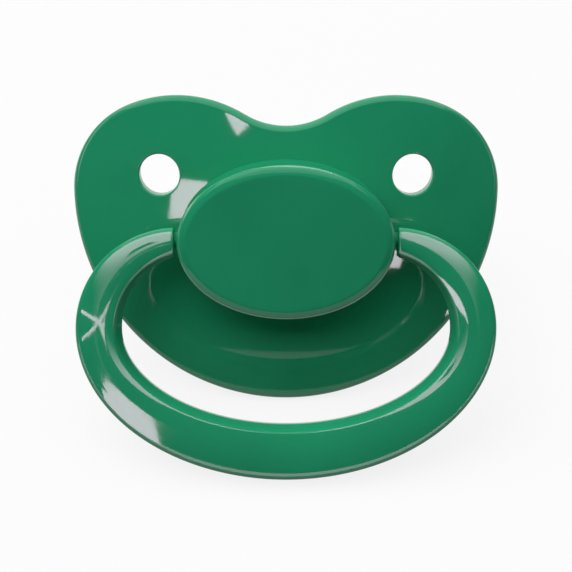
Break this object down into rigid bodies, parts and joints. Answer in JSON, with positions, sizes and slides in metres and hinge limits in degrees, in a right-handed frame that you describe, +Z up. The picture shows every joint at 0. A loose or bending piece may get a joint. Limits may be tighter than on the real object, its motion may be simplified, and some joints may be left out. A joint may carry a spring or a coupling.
{
  "type": "pacifier",
  "caption": "Baby pacifier with a domed butterfly shield, hollow teat, oval capped knob and a swinging ring handle.",
  "frame": {"origin": "on the table, under the middle of the whole object's bounding box", "axes": "+Z up, -Y towards the front, where the ring has dropped, +X to the right of someone facing the shield"},
  "size_m": [0.068, 0.0634, 0.0406],
  "materials": {
    "shield_plastic": "glossy moulded green plastic",
    "silicone": "soft clear silicone, slightly milky",
    "knob_plastic": "glossy moulded green plastic",
    "cap_plastic": "glossy moulded green plastic",
    "ring_plastic": "glossy moulded green plastic"
  },
  "bodies": {
    "soother": {"shield": "shield_plastic", "teat": "silicone", "knob": "knob_plastic", "cap": "cap_plastic"},
    "ring": {"ring": "ring_plastic"}
  },
  "joints": [
    {"name": "ring_hinge", "type": "hinge", "parent": "soother", "child": "ring", "pos_m": [0, -0.0034, 0.02692], "axis": [-1, 0, 0], "range_deg": [-18, 182]}
  ]
}
